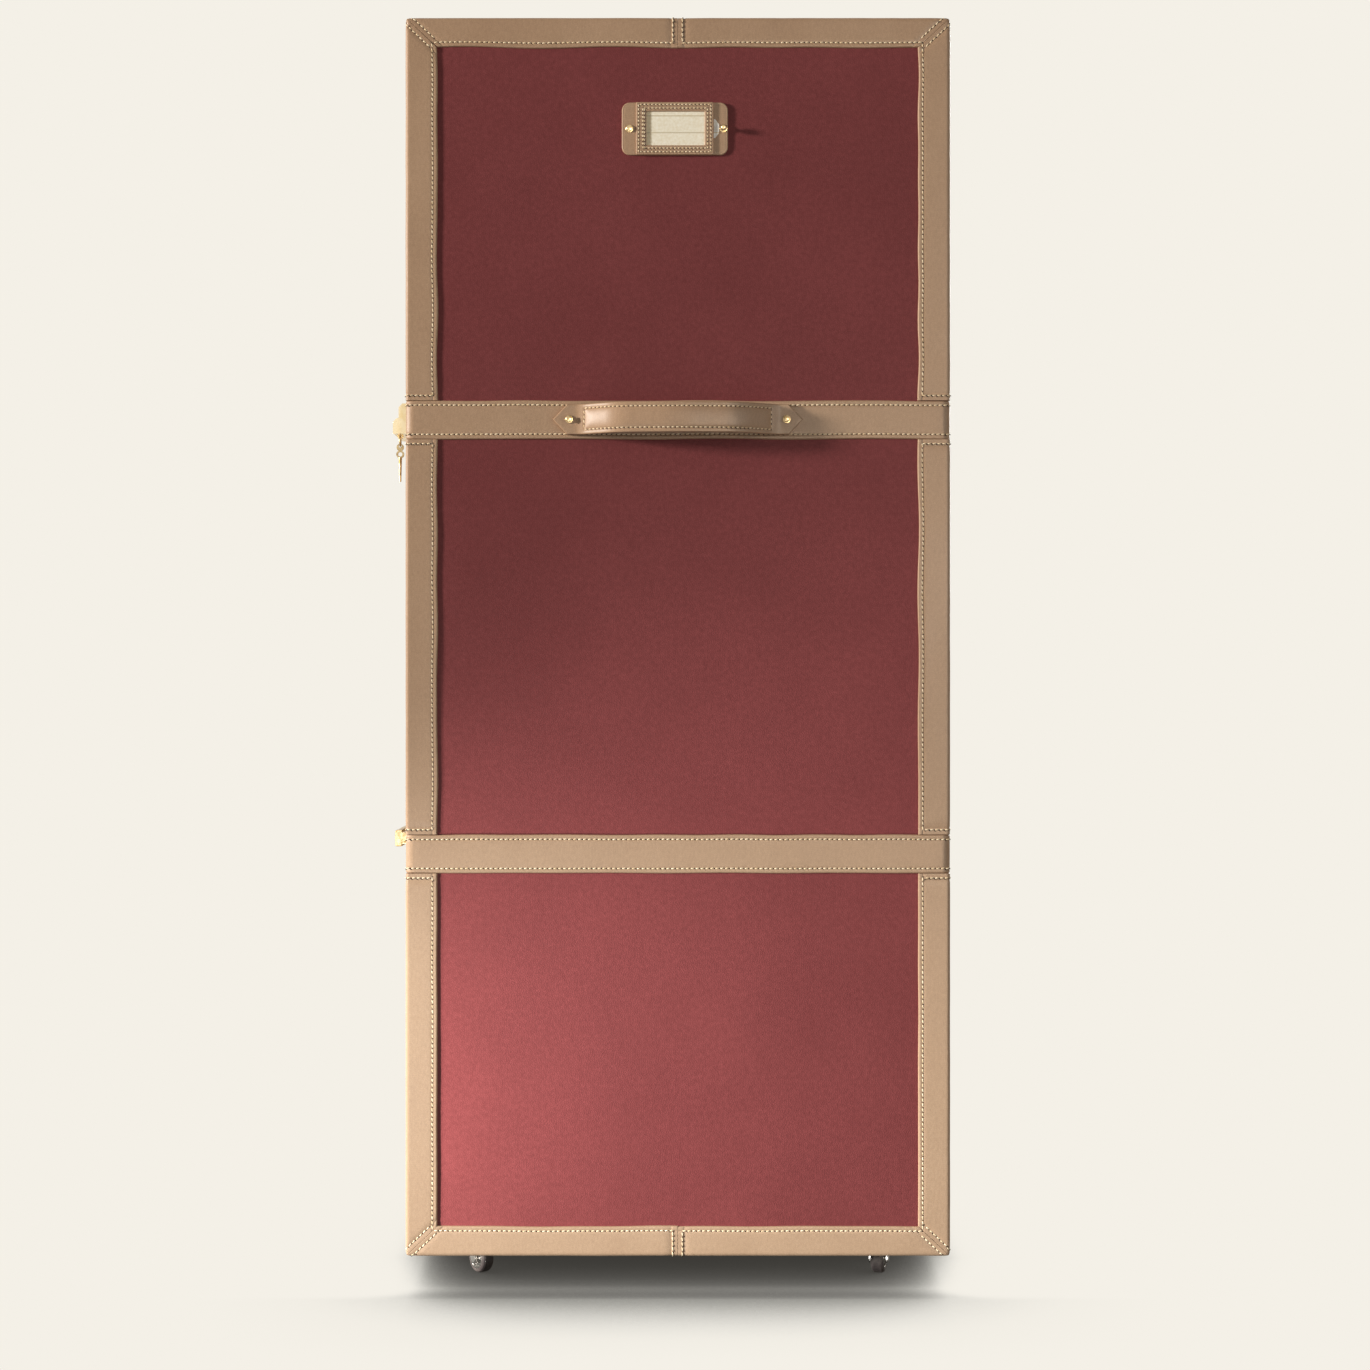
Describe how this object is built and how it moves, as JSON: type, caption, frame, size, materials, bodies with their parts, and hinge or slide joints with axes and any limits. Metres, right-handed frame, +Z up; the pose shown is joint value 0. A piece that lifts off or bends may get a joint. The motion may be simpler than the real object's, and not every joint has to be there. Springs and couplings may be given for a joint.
{
  "type": "wardrobe trunk",
  "caption": "Upright leather-bound wardrobe trunk with a side-hinged door, carrying handle, label holder, side lock, catch, hanging rail, shelf and casters.",
  "frame": {"origin": "on the floor under the middle of the trunk's plan, midway between its sides and between the front and back faces", "axes": "+Z up, -Y out of the front of the door, +X towards the hinge side"},
  "size_m": [0.5767, 0.5837, 1.293],
  "materials": {
    "burgundy_leather": "fine grained burgundy hide, satin",
    "tan_leather": "smooth taupe tan hide with pale stitching, satin",
    "suede_lining": "brushed beige lining",
    "birch_board": "sanded birch plywood",
    "polished_brass": "polished, lightly lacquered",
    "nickel_steel": "bright nickel plate",
    "black_rubber": "dark moulded tread",
    "cream_card": "uncoated cream card"
  },
  "bodies": {
    "case": {"case_leather": "burgundy_leather", "case_binding_rim": "tan_leather", "case_binding_corners": "tan_leather", "case_binding_ends": "tan_leather", "case_band_upper": "tan_leather", "case_band_lower": "tan_leather", "case_lining": "suede_lining", "case_face_board": "birch_board", "case_left_board": "birch_board", "case_right_board": "birch_board", "case_top_board": "birch_board", "case_bottom_board": "birch_board", "shelf": "birch_board", "shelf_battens": "birch_board", "case_hinge_leaves": "polished_brass", "hinge_pins": "polished_brass", "lock_case": "polished_brass", "catch_bracket": "polished_brass", "rail_sockets": "polished_brass", "hanging_rail": "polished_brass", "caster_plates": "nickel_steel"},
    "door": {"door_leather": "burgundy_leather", "door_face_board": "birch_board", "door_left_board": "birch_board", "door_right_board": "birch_board", "door_top_board": "birch_board", "door_bottom_board": "birch_board", "door_lining": "suede_lining", "door_binding_left": "tan_leather", "door_binding_right": "tan_leather", "door_binding_top": "tan_leather", "door_binding_bottom": "tan_leather", "door_band_upper": "tan_leather", "door_band_lower": "tan_leather", "handle_strap": "tan_leather", "handle_studs": "polished_brass", "label_base": "tan_leather", "label_frame": "tan_leather", "label_card": "cream_card", "label_studs": "polished_brass", "door_hinge_leaves": "polished_brass", "lock_keeper": "polished_brass", "catch_keeper": "polished_brass"},
    "lock_bolt": {"lock_bolt": "nickel_steel"},
    "lock_cylinder": {"lock_cylinder": "polished_brass"},
    "catch_rod": {"catch_rod": "polished_brass"},
    "key_ring": {"key_ring": "polished_brass"},
    "key": {"key": "polished_brass"},
    "swivel_front_left": {"caster_fork_front_left": "nickel_steel"},
    "wheel_front_left": {"caster_wheel_front_left": "nickel_steel", "caster_tyre_front_left": "black_rubber"},
    "swivel_front_right": {"caster_fork_front_right": "nickel_steel"},
    "wheel_front_right": {"caster_wheel_front_right": "nickel_steel", "caster_tyre_front_right": "black_rubber"},
    "swivel_rear_left": {"caster_fork_rear_left": "nickel_steel"},
    "wheel_rear_left": {"caster_wheel_rear_left": "nickel_steel", "caster_tyre_rear_left": "black_rubber"},
    "swivel_rear_right": {"caster_fork_rear_right": "nickel_steel"},
    "wheel_rear_right": {"caster_wheel_rear_right": "nickel_steel", "caster_tyre_rear_right": "black_rubber"}
  },
  "joints": [
    {"name": "door_hinge", "type": "hinge", "parent": "case", "child": "door", "pos_m": [0.279, -0.1945, 0.668], "axis": [0, 0, 1], "range_deg": [0, 175]},
    {"name": "lock_cylinder_turn", "type": "hinge", "parent": "case", "child": "lock_cylinder", "pos_m": [-0.2932, -0.17, 0.885], "axis": [1, 0, 0], "range_deg": [0, 90]},
    {"name": "lock_bolt_throw", "type": "slide", "parent": "case", "child": "lock_bolt", "axis": [0, -1, 0], "range_m": [0, 0.014]},
    {"name": "catch_rod_throw", "type": "slide", "parent": "case", "child": "catch_rod", "axis": [0, -1, 0], "range_m": [0, 0.014]},
    {"name": "key_ring_swing", "type": "hinge", "parent": "door", "child": "key_ring", "pos_m": [-0.287, -0.215, 0.876], "axis": [0, 1, 0], "range_deg": [-5, 60]},
    {"name": "key_swing", "type": "hinge", "parent": "key_ring", "child": "key", "pos_m": [-0.287, -0.215, 0.866], "axis": [0, 1, 0], "range_deg": [-4, 60]},
    {"name": "swivel_turn_front_left", "type": "hinge", "parent": "case", "child": "swivel_front_left", "pos_m": [-0.214, -0.144, 0.036], "axis": [0, 0, 1], "continuous": true},
    {"name": "wheel_turn_front_left", "type": "hinge", "parent": "swivel_front_left", "child": "wheel_front_left", "pos_m": [-0.20784, -0.15188, 0.015], "axis": [-0.788, -0.6157, 0], "continuous": true},
    {"name": "swivel_turn_front_right", "type": "hinge", "parent": "case", "child": "swivel_front_right", "pos_m": [0.214, -0.144, 0.036], "axis": [0, 0, 1], "continuous": true},
    {"name": "wheel_turn_front_right", "type": "hinge", "parent": "swivel_front_right", "child": "wheel_front_right", "pos_m": [0.21175, -0.15374, 0.015], "axis": [-0.9744, 0.225, 0], "continuous": true},
    {"name": "swivel_turn_rear_left", "type": "hinge", "parent": "case", "child": "swivel_rear_left", "pos_m": [-0.214, 0.205, 0.036], "axis": [0, 0, 1], "continuous": true},
    {"name": "wheel_turn_rear_left", "type": "hinge", "parent": "swivel_rear_left", "child": "wheel_rear_left", "pos_m": [-0.21823, 0.21406, 0.015], "axis": [0.9063, 0.4226, 0], "continuous": true},
    {"name": "swivel_turn_rear_right", "type": "hinge", "parent": "case", "child": "swivel_rear_right", "pos_m": [0.214, 0.205, 0.036], "axis": [0, 0, 1], "continuous": true},
    {"name": "wheel_turn_rear_right", "type": "hinge", "parent": "swivel_rear_right", "child": "wheel_rear_right", "pos_m": [0.2187, 0.21383, 0.015], "axis": [0.8829, -0.4695, 0], "continuous": true}
  ],
  "couplings": [
    {"joint": "lock_cylinder_turn", "follows": "lock_bolt_throw", "rad_per_m": 112}
  ]
}
